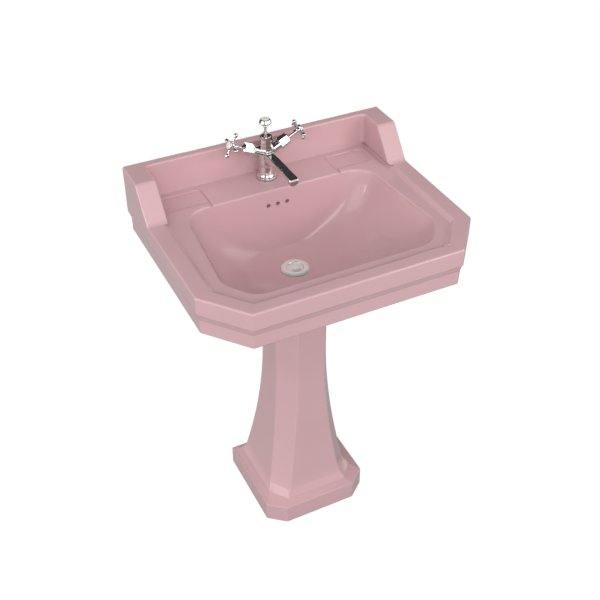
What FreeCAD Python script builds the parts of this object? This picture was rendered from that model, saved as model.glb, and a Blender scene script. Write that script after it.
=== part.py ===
import FreeCAD, Part
import math
import os

import Sketcher
from FreeCAD import Placement, Rotation, Vector

# Pedestal basin with a single-hole mixer tap and a pop-up waste. Millimetres, +X to the user's right,
# +Y towards the wall, +Z up. The origin is on the floor, under the centre of the basin's footprint.

doc = FreeCAD.newDocument("pedestal_basin")

# ---------------------------------------------------------------------------------------------------
# Driving dimensions
# ---------------------------------------------------------------------------------------------------

SIZES = {
    # basin: outside
    "basin_width": 610,         # across the rim
    "basin_depth": 486,         # wall face to front edge
    "rim_level": 825,           # floor to rim
    "apron_height": 87,         # rim down to the apron's lower edge
    "corner_cut_x": 76,         # front corners, cut this far along the front
    "corner_cut_y": 92,         # and this far along the side
    "apron_band": 39,           # height of the apron's upper band
    "apron_slope": 16,          # height of the slope between the bands
    "apron_inset": 6.6,         # how far the lower band stands back
    "china_wall": 11,           # thickness of the fired clay
    "deck_wall": 12,            # thickness of the tap deck
    "arris": 6,                 # soft radius of the upright corners
    "rim_arris": 4,             # soft radius of the rim's outer edge
    # basin: tray and upstand
    "tray_drop": 8,             # rim down to the tray
    "tray_step": 12,            # width of the soft step down to the tray
    "rim_side": 33.5,           # flat rim at the sides
    "rim_front": 27,            # flat rim at the front
    "upstand_height": 70,       # top of the back ledge above the rim
    "ledge_width": 18,          # front to back of the back ledge
    "wing_width": 45,           # thickness of the side wings
    "wing_flat": 80,            # flat top of a wing, from the wall
    "wing_slope": 56,           # front to back of a wing's slope
    "wing_toe": 14,             # radius where the slope meets the rim
    "wing_brow": 9,             # radius at the top of the slope
    "cove": 9,                  # radius of the inside corners of the upstand
    # basin: bowl
    "deck_depth": 107,          # wall face to the bowl's back lip
    "front_margin": 60,         # front edge to the bowl's front lip
    "back_margin": 89,          # side of the basin to the back lip's end
    "side_margin": 67,          # side of the basin to the bowl where it is widest
    "bowl_wide_at": 125,        # front edge to where the bowl is widest
    "lip_margin": 111,          # side of the basin to the front lip's end
    "bowl_corner": 52,          # plan radius of the lip's corners
    "floor_drop": 152,          # rim down to where the walls meet the bowl's floor
    "floor_back": 14,           # back lip to the floor's back edge
    "floor_front": 72,          # waste centre to the floor's front edge
    "floor_half": 104,          # half width of the floor
    "floor_corner": 66,         # plan radius of the floor's corners
    "lip_round": 4,             # radius of the bowl's lip
    "drain_drop": 164,          # rim down to the floor at the waste
    "drain_at": 193,            # wall face to the waste's centre
    "drain_half": 42,           # half width of the level seat round the waste
    "drain_ease": 1.9,          # radial gap between the waste and its hole
    "drain_boss": 31,           # radius of the clay round the waste hole
    "drain_boss_height": 36,    # drain down to the underside of that clay
    # basin: overflow, fixings, soap recesses
    "overflow_drop": 45,        # rim down to the overflow holes
    "overflow_hole": 4.7,       # radius
    "overflow_pitch": 22.5,
    "duct_half": 28,            # half width of the overflow duct
    "duct_deep": 12,            # front to back of the duct
    "duct_wall": 7,
    "channel_half": 12,         # half width of the passage to the waste
    "channel_drop": 25,         # drain down to the passage's underside
    "channel_height": 10,
    "wall_hole": 6,             # radius of the wall fixing holes
    "wall_hole_pitch": 280,
    "wall_hole_drop": 50,       # rim down to the wall fixing holes
    "soap_near": 150,           # soap recess, from the middle
    "soap_side": 62,            # side of the basin to the recess
    "soap_front": 91,           # wall face to the front of the recess
    "soap_back": 33,            # wall face to the back of the recess
    "soap_deep": 2.5,
    "soap_gutter": 6,           # width of the gutter from recess to bowl
    # pedestal
    "plinth_half": 132,
    "plinth_gap": 85,           # wall face to the plinth's back
    "plinth_depth": 246,
    "plinth_cut_x": 41,
    "plinth_cut_y": 33,
    "plinth_height": 51,
    "riser_foot_level": 57,
    "riser_foot_half": 111,
    "riser_foot_gap": 101,
    "riser_foot_depth": 208,
    "riser_foot_cut_x": 33,
    "riser_foot_cut_y": 38,
    "riser_top_level": 75,
    "riser_top_half": 101,
    "riser_top_gap": 109,
    "riser_top_depth": 191,
    "riser_top_cut_x": 32,
    "riser_top_cut_y": 47,
    "flare_top_level": 440,     # the column is straight above this height
    "column_half": 64.5,
    "column_gap": 149,
    "column_depth": 127,
    "column_cut_x": 30,
    "column_cut_y": 53,
    "seat_drop": 183,           # rim down to the basin's seat on the column
    "pedestal_wall": 11,
    "back_opening_half": 46,    # half width of the slot up the pedestal's back
    "lug_size": 34,             # floor fixing lugs in the plinth's back corners
    "lug_thick": 14,
    "lug_hole": 4,              # radius
    "bedding": 2,               # thickness of the bedding between pedestal and basin
    # mixer tap
    "tap_at": 51,               # wall face to the tap's centre
    "tap_hole": 17.5,           # radius of the hole in the deck
    "base_seal": 1.5,           # thickness of the seal under the tap
    "flange_radius": 21.5,
    "flange_height": 4.5,
    "bell_radius": 15,
    "hub_radius": 15.5,
    "hub_foot": 33,             # flange underside to the hub
    "hub_top": 68,              # flange underside to the bonnet
    "valve_tilt": 26,           # degrees that the valves rise above level
    "valve_origin": 57,         # flange underside to where the valve axes meet
    "arm_radius": 11,
    "arm_end": 34,              # valve axis origin to the bonnet's seat
    "collar_radius": 13,
    "sleeve_flat": 12,          # half the width across a bonnet's flats
    "sleeve_end": 61,           # valve axis origin to the bonnet's outer end
    "spindle_radius": 4,
    "spindle_foot": 24,
    "cartridge_radius": 8,
    "running_gap": 0.06,        # radial clearance of turning and sliding fits
    "easy_gap": 0.4,            # clearance where parts only pass each other
    "thread_gap": 0.05,         # radial clearance of screwed and soldered fits
    "handle_at": 88,            # valve axis origin to the handle's arms
    "handle_reach": 25,         # handle centre to the centre of a ball tip
    "ball_radius": 4.4,
    "grip_radius": 2.4,         # thinnest part of a handle arm
    "handle_hub": 8.5,
    "cap_radius": 8.6,          # indice disc on the end of a handle
    "spout_reach": 131,         # tap centre to the outlet's centre
    "spout_width": 20,
    "spout_top_root": 66,       # heights above the flange underside
    "spout_top_tip": 69,
    "spout_outlet": 56,
    "aerator_radius": 9.6,
    "aerator_height": 7,
    "bonnet_foot_flat": 16.4,   # lift-rod bonnet: half width across flats at the foot
    "bonnet_top_flat": 13,
    "bonnet_height": 38,
    "rod_radius": 2.5,
    "knob_radius": 13.5,
    "knob_gap": 11.5,           # bonnet to the raised knob
    "knob_height": 20,
    "rod_travel": 10,
    "rod_below": 176.5,         # tap flange down to the lift rod's lower end
    "tail_radius": 5,
    "tail_spread": 11,          # tap centre to each tail, in the tap's base
    "tail_out": 30,             # the same at the lower ends, which pass the outlet pipe on either side
    "tail_straight": 100,       # lower end up to the bend
    "tail_bend": 80,            # height of the bend
    "tail_back": 2,
    "tail_below": 318.5,        # tap flange down to the tails' lower ends
    "tail_wall": 0.8,
    "free_end": 40,             # length of a pipe's end that a fitting goes over
    "bead_rise": 1.2,           # stop bead on a pipe: height and width
    "bead_width": 3,
    "tail_socket": 8,
    "stud_radius": 4,
    "stud_forward": 10,         # tap centre to the stud
    "stud_length": 52,
    "horseshoe_radius": 22,
    "horseshoe_slot": 16.6,
    "horseshoe_seal": 2,
    "horseshoe_plate": 3,
    "stud_nut_flat": 6.5,
    "stud_nut_height": 9,
    # pop-up waste
    "waste_flange": 32,         # radius
    "waste_flange_rise": 3,
    "waste_tube": 20.6,         # outer radius of the threaded tube
    "waste_bore": 16.5,
    "waste_shoulder": 83,       # drain down to where the tube narrows to its tail
    "waste_tail": 16,           # outer radius of the tail
    "waste_tail_bore": 14.2,
    "waste_foot": 151,          # drain down to the tail's end
    "plug_radius": 18.4,
    "plug_stem": 5,
    "backnut_height": 9,
    "backnut_flat": 28,
    "waste_seal": 3.5,
    "pivot_reach": 28,          # waste centre to the lever's pivot
    "pivot_drop": 63,           # drain down to the pivot
    "pivot_ball": 6,
    "port_radius": 9,
    "lever_radius": 2,
    "lever_arm": 60,            # pivot to the strap
    "lever_tail": 9,            # lever beyond the strap
    "strap_width": 10,
    "strap_thick": 1.6,
    "clamp_size": 9,            # block that grips the lift rod
    # bottle trap
    "trap_collar": 19.5,        # outer radius of the threaded collars
    "trap_drop": 133,           # drain down to the top of the trap's collar
    "collar_height": 37,        # that collar's height above the trap's shoulder
    "trap_radius": 31,
    "trap_wall": 2.5,
    "trap_height": 51,          # shoulder down to the lower edge of the trap's body
    "dip_radius": 14,           # outer radius of the pipe that dips into the water
    "dip_depth": 38,            # the body's lower edge down to the end of that pipe
    "cup_depth": 56,            # the body's lower edge down to the cup's underside
    "cup_seal": 2,              # thickness of the seal between body and cup
    "cup_rim": 3.4,             # how far the cup's rim stands out from the body
    "cup_lap": 14,              # how far the cup's rim laps up the body
    "outlet_drop": 16,          # shoulder down to the outlet's axis
    "outlet_reach": 54,         # waste centre to the mouth of the outlet collar
    "pipe_insert": 16,          # how far a pipe goes into its collar
    "union_seal": 4,
    "union_nut": 23,            # outer radius of the union nuts
    "union_lap": 12,            # how far a union nut laps its collar
}


class Size:
    """A length with its number and the expression that gives it from the sheet."""

    def __init__(self, value, text):
        self.value = float(value)
        self.text = text

    def join(self, sign, other, value):
        return Size(value, "(%s %s %s)" % (self.text, sign, other.text))

    def __add__(self, other):
        other = sized(other)
        return self.join("+", other, self.value + other.value)

    def __sub__(self, other):
        other = sized(other)
        return self.join("-", other, self.value - other.value)

    def __mul__(self, other):
        other = sized(other)
        return self.join("*", other, self.value * other.value)

    def __truediv__(self, other):
        other = sized(other)
        return self.join("/", other, self.value / other.value)

    def __neg__(self):
        return Size(-self.value, "(0 - %s)" % self.text)

    def __radd__(self, other):
        return sized(other) + self

    def __rsub__(self, other):
        return sized(other) - self

    def __rmul__(self, other):
        return sized(other) * self


def sized(number):
    """Any plain number as a Size."""
    if isinstance(number, Size):
        return number
    return Size(number, "%.9g" % number)


def root(size):
    return Size(math.sqrt(size.value), "sqrt(%s)" % size.text)


class Sheet:
    """The document's spreadsheet; each size is an attribute of the same name."""

    def __init__(self, sizes):
        self.sheet = doc.addObject("Spreadsheet::Sheet", "dims")
        for row, (name, value) in enumerate(sizes.items(), start=1):
            self.sheet.set("A%d" % row, name)
            self.sheet.set("B%d" % row, str(value))
            self.sheet.setAlias("B%d" % row, name)
            setattr(self, name, Size(value, "dims." + name))


S = Sheet(SIZES)
doc.recompute()

# ---------------------------------------------------------------------------------------------------
# Sketches and features
# ---------------------------------------------------------------------------------------------------


def new_body(name):
    body = doc.addObject("PartDesign::Body", name)
    body.Label = name
    return body


def bind(thing, field, size):
    """Ties one field of an object to the sheet."""
    size = sized(size)
    thing.setExpression(field, size.text)


def put(body, x=0, y=0, z=0, axis=Vector(0, 0, 1), angle=0.0):
    """Gives a body its place, with the position tied to the sheet."""
    where = Vector(sized(x).value, sized(y).value, sized(z).value)
    body.Placement = Placement(where, Rotation(axis, angle))
    for letter, size in zip("xyz", (x, y, z)):
        bind(body, "Placement.Base." + letter, size)


def new_sketch(body, role, offset=0, turn=None):
    """An empty sketch on one of the body's origin planes, raised by offset along its normal."""
    plane = [item for item in body.Origin.OriginFeatures if item.Role == role][0]
    sketch = body.newObject("Sketcher::SketchObject", "Sketch")
    sketch.AttachmentSupport = [(plane, "")]
    sketch.MapMode = "FlatFace"
    offset = sized(offset)
    sketch.AttachmentOffset = Placement(Vector(0, 0, offset.value), turn or Rotation())
    bind(sketch, "AttachmentOffset.Base.z", offset)
    return sketch


class Corner:
    """The arc that rounds one corner: its centre, where it starts and where it ends."""

    def __init__(self, before, corner, after, radius):
        back = (before - corner).normalize()
        ahead = (after - corner).normalize()
        half = back.getAngle(ahead) / 2
        run = radius / math.tan(half)
        self.radius = radius
        self.centre = corner + (back + ahead).normalize() * (radius / math.sin(half))
        self.start = corner + back * run
        self.end = corner + ahead * run
        self.leftward = back.cross(ahead).z < 0

    def arc(self):
        """The arc as the sketcher keeps it, always counter-clockwise."""
        first, last = (self.start, self.end) if self.leftward else (self.end, self.start)
        angles = [math.atan2(p.y - self.centre.y, p.x - self.centre.x) for p in (first, last)]
        if angles[1] < angles[0]:
            angles[1] += 2 * math.pi
        return Part.ArcOfCircle(Part.Circle(self.centre, Vector(0, 0, 1), self.radius), *angles)


def pin_point(sketch, geometry, end, x, y):
    """Holds a sketch point at distances from the sketch's origin that come from the sheet."""
    for kind, size in (("DistanceX", x), ("DistanceY", y)):
        index = sketch.addConstraint(Sketcher.Constraint(kind, -1, 1, geometry, end, size.value))
        sketch.setExpression("Constraints[%d]" % index, size.text)


def draw_outline(sketch, corners):
    """A closed outline of straight sides. A corner is (x, y) or (x, y, radius of its arc)."""
    corners = [tuple(sized(part) for part in corner) for corner in corners]
    points = [Vector(corner[0].value, corner[1].value, 0) for corner in corners]
    count = len(corners)
    starts, ends, arcs = list(points), points[1:] + points[:1], {}
    for i, corner in enumerate(corners):
        if len(corner) == 3:
            arcs[i] = Corner(points[i - 1], points[i], points[(i + 1) % count], corner[2].value)
            ends[i - 1] = arcs[i].start
            starts[i] = arcs[i].end
    lines = [sketch.addGeometry(Part.LineSegment(starts[i], ends[i])) for i in range(count)]
    for i, corner in enumerate(corners):
        if i in arcs:
            draw_corner(sketch, lines[i - 1], lines[i], points[i], arcs[i], corner)
        else:
            sketch.addConstraint(Sketcher.Constraint("Coincident", lines[i - 1], 2, lines[i], 1))
            pin_point(sketch, lines[i], 1, corner[0], corner[1])
    return sketch


def draw_corner(sketch, line_in, line_out, point, rounding, corner):
    """One rounded corner: an arc tangent to both sides, held by the point where the sides would meet."""
    index = sketch.addGeometry(rounding.arc())
    first, last = (1, 2) if rounding.leftward else (2, 1)
    sketch.addConstraint(Sketcher.Constraint("Tangent", line_in, 2, index, first))
    sketch.addConstraint(Sketcher.Constraint("Tangent", line_out, 1, index, last))
    radius = sketch.addConstraint(Sketcher.Constraint("Radius", index, corner[2].value))
    sketch.setExpression("Constraints[%d]" % radius, corner[2].text)
    mark = sketch.addGeometry(Part.Point(point), True)
    sketch.addConstraint(Sketcher.Constraint("PointOnObject", mark, 1, line_in))
    sketch.addConstraint(Sketcher.Constraint("PointOnObject", mark, 1, line_out))
    pin_point(sketch, mark, 1, corner[0], corner[1])


def outline(body, role, corners, offset=0):
    """A sketch of one closed outline."""
    return draw_outline(new_sketch(body, role, offset), corners)


def draw_circle(sketch, radius, x=0, y=0):
    x, y, radius = sized(x), sized(y), sized(radius)
    shape = Part.Circle(Vector(x.value, y.value, 0), Vector(0, 0, 1), radius.value)
    index = sketch.addGeometry(shape)
    pin_point(sketch, index, 3, x, y)
    size = sketch.addConstraint(Sketcher.Constraint("Radius", index, radius.value))
    sketch.setExpression("Constraints[%d]" % size, radius.text)
    return sketch


def circle(body, role, x, y, radius, offset=0):
    """A sketch of one circle."""
    return draw_circle(new_sketch(body, role, offset), radius, x, y)


def sweep_straight(body, kind, sketch, length, backwards, both_ways):
    feature = body.newObject("PartDesign::" + kind, kind)
    feature.Profile = sketch
    feature.Midplane = both_ways
    feature.Reversed = backwards
    bind(feature, "Length", length)
    doc.recompute()
    return feature


def pad(body, sketch, length, backwards=False, both_ways=False):
    """Raises a sketch along its normal."""
    return sweep_straight(body, "Pad", sketch, length, backwards, both_ways)


def pocket(body, sketch, length, backwards=False, both_ways=False):
    """Cuts a sketch into the solid, against its normal unless backwards, and makes sure that it cut."""
    doc.recompute()
    before = body.Shape.Volume
    feature = sweep_straight(body, "Pocket", sketch, length, backwards, both_ways)
    if body.Shape.Volume > before - 0.01:
        raise RuntimeError("a pocket in %s cuts nothing" % body.Label)
    return feature


def turn(body, sketch, axis="V_Axis", cut=False):
    """Turns a sketch once round one of its own axes."""
    kind = "Groove" if cut else "Revolution"
    feature = body.newObject("PartDesign::" + kind, kind)
    feature.Profile = sketch
    feature.ReferenceAxis = (sketch, [axis])
    feature.Angle = 360
    doc.recompute()
    return feature


def loft(body, sketches, cut=False, ruled=False):
    """Joins sketches of the same make, in order."""
    kind = "SubtractiveLoft" if cut else "AdditiveLoft"
    feature = body.newObject("PartDesign::" + kind, kind)
    feature.Profile = sketches[0]
    feature.Sections = sketches[1:]
    feature.Ruled = ruled
    doc.recompute()
    return feature


def soften(body, radius, wanted, kind="Fillet"):
    """Rounds, or chamfers, the edges of the body for which wanted(edge) is true."""
    names = ["Edge%d" % n for n, edge in enumerate(body.Shape.Edges, start=1) if wanted(edge)]
    base = body.Tip
    feature = body.newObject("PartDesign::" + kind, kind)
    feature.Base = (base, names)
    bind(feature, "Radius" if kind == "Fillet" else "Size", radius)
    body.Tip = feature
    doc.recompute()
    return feature


def level(edge, height):
    """True for an edge that lies at one height."""
    box = edge.BoundBox
    return abs(box.ZMin - height) < 0.01 and abs(box.ZMax - height) < 0.01


def turned(name, corners):
    """A body turned about its own Z from an outline of (radius, height) corners."""
    body = new_body(name)
    turn(body, outline(body, "XZ_Plane", corners))
    return body


def ring(name, outer, inner, foot, height):
    """A plain ring or washer about its own Z."""
    return turned(name, [(inner, foot), (outer, foot), (outer, foot + height), (inner, foot + height)])


def polygon(sides, flat):
    """Corners of a regular polygon with this half width across its flats."""
    reach = 1 / math.cos(math.pi / sides)
    angles = [math.pi * (2 * k + 1) / sides for k in range(sides)]
    return [(flat * (reach * math.cos(a)), flat * (reach * math.sin(a))) for a in angles]


def nut(name, flat, bore, foot, height, sides=6):
    """A nut about its own Z."""
    body = new_body(name)
    pad(body, outline(body, "XY_Plane", polygon(sides, flat), foot), height)
    pocket(body, circle(body, "XY_Plane", 0, 0, bore, foot), height, backwards=True)
    return body


# ---------------------------------------------------------------------------------------------------
# Plan outlines with cut front corners
# ---------------------------------------------------------------------------------------------------


class Plan:
    """A plan outline: square at the back, cut corners at the front, even about X = 0."""

    def __init__(self, half, front, back, cut_x, cut_y, arris):
        self.half = half
        self.front = front
        self.back = back
        self.cut_x = cut_x
        self.cut_y = cut_y
        self.arris = arris

    def inset(self, by, back_by=None):
        """The same outline moved in by one distance all round, or by another at the back."""
        by = sized(by)
        back_by = by if back_by is None else sized(back_by)
        slant = root(self.cut_x * self.cut_x + self.cut_y * self.cut_y)
        return Plan(
            self.half - by,
            self.front + by,
            self.back - back_by,
            self.cut_x + by * ((slant - self.cut_x) / self.cut_y - 1),
            self.cut_y + by * ((slant - self.cut_y) / self.cut_x - 1),
            self.arris,
        )

    def between(self, other, share):
        """The outline part of the way to another."""
        pairs = ("half", "front", "back", "cut_x", "cut_y", "arris")
        mixed = [getattr(self, p) * (1 - share) + getattr(other, p) * share for p in pairs]
        return Plan(*mixed)

    def corners(self):
        side = self.half - self.cut_x
        shoulder = self.front + self.cut_y
        return [
            (-self.half, self.back),
            (-self.half, shoulder, self.arris),
            (-side, self.front, self.arris),
            (side, self.front, self.arris),
            (self.half, shoulder, self.arris),
            (self.half, self.back),
        ]

    def sketch(self, body, height):
        return outline(body, "XY_Plane", self.corners(), height)


# ---------------------------------------------------------------------------------------------------
# Basin
# ---------------------------------------------------------------------------------------------------

WALL_FACE = S.basin_depth / 2
DECK_LEVEL = S.rim_level - S.tray_drop
DECK_FOOT = DECK_LEVEL - S.deck_wall
APRON_FOOT = S.rim_level - S.apron_height
SEAT_LEVEL = S.rim_level - S.seat_drop
COLUMN_TOP = SEAT_LEVEL - S.bedding
DRAIN_LEVEL = S.rim_level - S.drain_drop
DRAIN_AT = WALL_FACE - S.drain_at
DRAIN_HOLE = S.waste_tube + S.drain_ease
BOSS_FOOT = DRAIN_LEVEL - S.drain_boss_height
FLOOR_LEVEL = S.rim_level - S.floor_drop
OVERFLOW_LEVEL = S.rim_level - S.overflow_drop
CHANNEL_FOOT = DRAIN_LEVEL - S.channel_drop
BOWL_BACK = WALL_FACE - S.deck_depth
TAP_AT = WALL_FACE - S.tap_at
SPOUT_TIP = TAP_AT - S.spout_reach
PLINTH_BACK = WALL_FACE - S.plinth_gap


def standing(half, gap, depth, cut_x, cut_y):
    """A plan outline that stands this far off the wall."""
    back = WALL_FACE - gap
    return Plan(half, back - depth, back, cut_x, cut_y, S.arris)


COLUMN = standing(S.column_half, S.column_gap, S.column_depth, S.column_cut_x, S.column_cut_y)


def rim_plan():
    return Plan(S.basin_width / 2, -WALL_FACE, WALL_FACE, S.corner_cut_x, S.corner_cut_y, S.arris)


def bowl_lip():
    """Corners of the bowl's outline at its lip."""
    side = S.basin_width / 2
    front = S.front_margin - WALL_FACE
    return even_outline([
        (side - S.back_margin, BOWL_BACK, S.bowl_corner),
        (side - S.side_margin, S.bowl_wide_at - WALL_FACE, S.bowl_corner),
        (side - S.lip_margin, front, S.bowl_corner),
    ])


def bowl_floor():
    """Corners of the outline where the bowl's walls turn into its floor."""
    front = DRAIN_AT - S.floor_front
    half = S.floor_half
    return even_outline([
        (half, BOWL_BACK - S.floor_back, S.floor_corner),
        (half * 1.04, front + half * 0.42, S.floor_corner * 0.75),
        (half * 0.72, front, S.floor_corner * 0.6),
    ])


def drain_seat():
    """Corners of the level seat round the waste."""
    half = S.drain_half
    return even_outline([
        (half, DRAIN_AT + half, half * 0.75),
        (half * 1.04, DRAIN_AT - half * 0.2, half * 0.6),
        (half * 0.62, DRAIN_AT - half, half * 0.5),
    ])


def even_outline(right):
    """Both halves of an outline that is even about X = 0, from the right half's corners, back to front."""
    left = [(-x, y, radius) for x, y, radius in right]
    return left + right[::-1]


def mixed(first, second, share):
    """The outline part of the way from one outline to another."""
    return [tuple(a * (1 - share) + b * share for a, b in zip(*pair)) for pair in zip(first, second)]


def moved_out(corners, out):
    """The same outline with its corners moved out by a wall's thickness."""
    middle = DRAIN_AT.value
    grown = []
    for x, y, radius in corners:
        across = out if x.value > 0 else -out
        along = out if y.value > middle else -out
        grown.append((x + across, y + along, radius + out))
    return grown


def bowl_wall(body, top, foot, out=0):
    """Sketches down the bowl's wall, which leans in more and more towards the floor."""
    sketches = []
    for step in (0, 0.25, 0.5, 0.75, 0.9, 1):
        share = 0.4 * step + 0.6 * step ** 3
        corners = mixed(bowl_lip(), bowl_floor(), share)
        height = top * (1 - step) + foot * step
        sketches.append(outline(body, "XY_Plane", moved_out(corners, sized(out)), height))
    return sketches


def bowl_bottom(body):
    """Sketches from the foot of the wall down the shallow floor to the seat of the waste."""
    sketches = []
    for step in (0, 0.3, 0.6, 0.85, 1):
        fall = 1 - (1 - step) ** 1.6
        corners = mixed(bowl_floor(), drain_seat(), step)
        height = FLOOR_LEVEL * (1 - fall) + DRAIN_LEVEL * fall
        sketches.append(outline(body, "XY_Plane", corners, height))
    return sketches


def bowl_lip_round(body):
    """Sketches of the soft lip: a quarter circle from the tray down to the wall."""
    sketches = []
    for degrees in (0, 22, 45, 67, 90):
        angle = math.radians(degrees)
        out = S.lip_round * (1 - math.sin(angle))
        drop = S.lip_round * (1 - math.cos(angle))
        sketches.append(outline(body, "XY_Plane", moved_out(bowl_lip(), out), DECK_LEVEL - drop))
    return sketches


def soft_step(inner, outer, foot, top, body):
    """Sketches of a soft step, an S from the inner outline at its foot to the outer one at its top."""
    sketches = []
    for step in (0, 0.18, 0.36, 0.64, 0.82, 1):
        rise = (1 - math.cos(math.pi * step)) / 2
        sketches.append(inner.between(outer, step).sketch(body, foot * (1 - rise) + top * rise))
    return sketches


def add_apron(body, rim):
    lower = rim.inset(S.apron_inset, 0)
    slope_top = S.rim_level - S.apron_band
    slope_foot = slope_top - S.apron_slope
    pad(body, lower.sketch(body, APRON_FOOT), slope_foot - APRON_FOOT)
    loft(body, soft_step(lower, rim, slope_foot, slope_top, body), ruled=True)
    pad(body, rim.sketch(body, slope_top), S.apron_band)


def cut_tray(body, rim):
    foot = rim.inset(S.rim_side + S.tray_step)
    foot.back = rim.back - S.ledge_width
    top = rim.inset(S.rim_side)
    top.back = rim.back - S.ledge_width
    for plan, sides in ((foot, S.tray_step), (top, 0)):
        plan.front = rim.front + S.rim_front + sides
    loft(body, soft_step(foot, top, DECK_LEVEL, S.rim_level, body), cut=True, ruled=True)


def wing_foot():
    """Where the slope of a wing starts to rise from the rim."""
    return WALL_FACE - S.wing_flat - S.wing_slope


def add_upstand(body):
    """Back ledge and side wings: a side view as wide as the basin, hollowed later over the deck."""
    top = S.rim_level + S.upstand_height
    front = wing_foot() - S.wing_toe * 2
    side_view = [
        (front, DECK_LEVEL),
        (front, S.rim_level),
        (wing_foot(), S.rim_level, S.wing_toe),
        (WALL_FACE - S.wing_flat, top, S.wing_brow),
        (WALL_FACE, top),
        (WALL_FACE, DECK_LEVEL),
    ]
    pad(body, outline(body, "YZ_Plane", side_view), S.basin_width, both_ways=True)


def hollow_upstand(body):
    """Opens the upstand over the deck, which leaves the back ledge and the two wings."""
    half = S.basin_width / 2 - S.wing_width
    back = WALL_FACE - S.ledge_width
    front = wing_foot() - S.wing_toe * 3
    hollow = [(-half, front), (half, front), (half, back, S.cove), (-half, back, S.cove)]
    height = S.upstand_height + S.tray_drop
    pocket(body, outline(body, "XY_Plane", hollow, DECK_LEVEL), height, backwards=True)


def across(edge):
    """True for an edge that runs from one side of the basin to the other."""
    half = S.basin_width.value / 4
    return edge.BoundBox.XMin < -half and edge.BoundBox.XMax > half


def soften_outside(body):
    """Rounds the outer edge of the rim and the outer edges of the wings in one run."""
    def is_outer(edge):
        if edge.BoundBox.ZMin < S.rim_level.value - 0.01:
            return False
        return not across(edge) or edge.BoundBox.YMax < -WALL_FACE.value + 1

    soften(body, S.rim_arris, is_outer)


def soften_inside(body):
    """Rounds the inner edges of the wings and of the back ledge."""
    inner = (S.basin_width / 2 - S.wing_width).value
    ledge = (WALL_FACE - S.ledge_width).value

    def is_inner(edge):
        box = edge.BoundBox
        if box.ZMin < S.rim_level.value + 0.01:
            return False
        on_wing = abs(box.XMax - box.XMin) < 0.01 and abs(abs(box.XMin) - inner) < 0.01
        on_ledge = across(edge) and abs(box.YMax - ledge) < 0.01
        in_corner = abs(box.YMax - ledge) < 0.01 and level(edge, box.ZMin) and not across(edge)
        return on_wing or on_ledge or in_corner

    soften(body, S.rim_arris, is_inner)


def add_bowl_shell(body):
    """Clay round the bowl, the seat for the pedestal, the boss for the waste and the overflow duct."""
    wall = S.china_wall
    loft(body, bowl_wall(body, DECK_FOOT + 1, DRAIN_LEVEL - wall, wall))
    seat = COLUMN.sketch(body, SEAT_LEVEL)
    pad(body, seat, FLOOR_LEVEL - SEAT_LEVEL)
    boss = circle(body, "XY_Plane", 0, DRAIN_AT, S.drain_boss, BOSS_FOOT)
    pad(body, boss, DRAIN_LEVEL - BOSS_FOOT)
    duct_foot = CHANNEL_FOOT - S.duct_wall
    half = S.duct_half + S.duct_wall
    back = BOWL_BACK + wall + S.duct_deep + S.duct_wall
    front = BOWL_BACK - S.floor_back - wall
    ridge = [(-half, front), (half, front), (half, back, 6), (-half, back, 6)]
    pad(body, outline(body, "XY_Plane", ridge, duct_foot), DECK_FOOT + 1 - duct_foot)
    half = S.channel_half + S.duct_wall
    passage = [(-half, DRAIN_AT), (half, DRAIN_AT), (half, back - 1), (-half, back - 1)]
    pad(body, outline(body, "XY_Plane", passage, duct_foot), FLOOR_LEVEL - duct_foot)


def cut_bowl(body):
    loft(body, bowl_wall(body, DECK_LEVEL, FLOOR_LEVEL), cut=True)
    loft(body, bowl_bottom(body), cut=True)
    loft(body, bowl_lip_round(body), cut=True, ruled=True)
    hole = circle(body, "XY_Plane", 0, DRAIN_AT, DRAIN_HOLE, BOSS_FOOT)
    pocket(body, hole, DRAIN_LEVEL + 1 - BOSS_FOOT, backwards=True)


def cut_overflow(body):
    """Three holes in the back of the bowl, a duct down behind it and a passage to the waste."""
    front = BOWL_BACK + S.china_wall - 1
    duct = [(-S.duct_half, front), (S.duct_half, front),
            (S.duct_half, front + S.duct_deep), (-S.duct_half, front + S.duct_deep)]
    depth = OVERFLOW_LEVEL + S.overflow_hole * 2 - CHANNEL_FOOT
    pocket(body, outline(body, "XY_Plane", duct, CHANNEL_FOOT), depth, backwards=True)
    half = S.channel_half
    passage = [(-half, DRAIN_AT), (half, DRAIN_AT), (half, front + S.duct_deep), (-half, front + S.duct_deep)]
    pocket(body, outline(body, "XY_Plane", passage, CHANNEL_FOOT), S.channel_height, backwards=True)
    for place in (-1, 0, 1):
        hole = circle(body, "XZ_Plane", S.overflow_pitch * place, OVERFLOW_LEVEL, S.overflow_hole, -front - 1)
        pocket(body, hole, S.china_wall * 2 + 4, backwards=True)


def cut_fixings(body):
    """Tap hole in the deck and two wall fixing holes in the back."""
    hole = circle(body, "XY_Plane", 0, TAP_AT, S.tap_hole, DECK_FOOT)
    pocket(body, hole, S.deck_wall, backwards=True)
    for side in (-1, 1):
        across = S.wall_hole_pitch / 2 * side
        up = S.rim_level - S.wall_hole_drop
        hole = circle(body, "XZ_Plane", across, up, S.wall_hole, -WALL_FACE)
        pocket(body, hole, S.china_wall * 2, backwards=True)


def cut_soap_recesses(body):
    """A shallow soap recess each side of the deck, with a gutter into the bowl."""
    for side in (-1, 1):
        near, far = S.soap_near * side, (S.basin_width / 2 - S.soap_side) * side
        front, back = WALL_FACE - S.soap_front, WALL_FACE - S.soap_back
        recess = [(near, front, 8), (far, front, 8), (far, back, 12), (near, back, 12)]
        foot = DECK_LEVEL - S.soap_deep
        pocket(body, outline(body, "XY_Plane", recess, foot), S.soap_deep + 1, backwards=True)
        gutter_far = near + S.soap_gutter * side
        gutter = [(near, BOWL_BACK - 6), (gutter_far, BOWL_BACK - 6),
                  (gutter_far, back - 14), (near, back - 14)]
        pocket(body, outline(body, "XY_Plane", gutter, foot), S.soap_deep + 1, backwards=True)


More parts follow.
